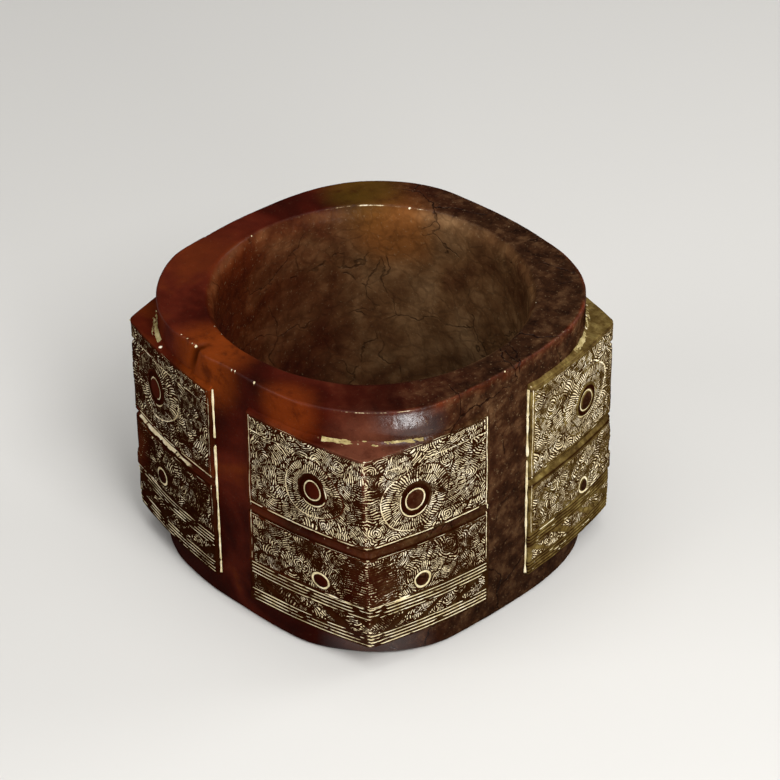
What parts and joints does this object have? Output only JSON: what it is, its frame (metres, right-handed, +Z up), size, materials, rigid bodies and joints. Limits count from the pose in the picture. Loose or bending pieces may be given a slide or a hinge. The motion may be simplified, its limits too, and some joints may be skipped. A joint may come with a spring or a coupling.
{
  "type": "jade cong tube",
  "caption": "Squat stone tube, round inside and a bowed square outside, with a two-tier engraved prism on each corner and plain collars above and below.",
  "frame": {"origin": "centre of the foot, on the surface that the tube stands on", "axes": "+Z up along the bore; the plain channels face +X, -X, +Y and -Y, and the prisms stand on the diagonals"},
  "size_m": [0.0762, 0.0762, 0.0555],
  "materials": {
    "jade": "polished red-brown nephrite, mottled, with amber patches and fine dark cracks",
    "deposit": "pale, matt, chalky deposit settled in the cut lines"
  },
  "bodies": {
    "root": {"jade_tube": "jade", "border_fill": "deposit", "hat_fill": "deposit", "tier_fill": "deposit", "upper_band_fill": "deposit", "lower_band_fill": "deposit", "large_eye_fill": "deposit", "small_eye_fill": "deposit", "edge_fill": "deposit", "shoulder_crust": "deposit"}
  },
  "joints": []
}
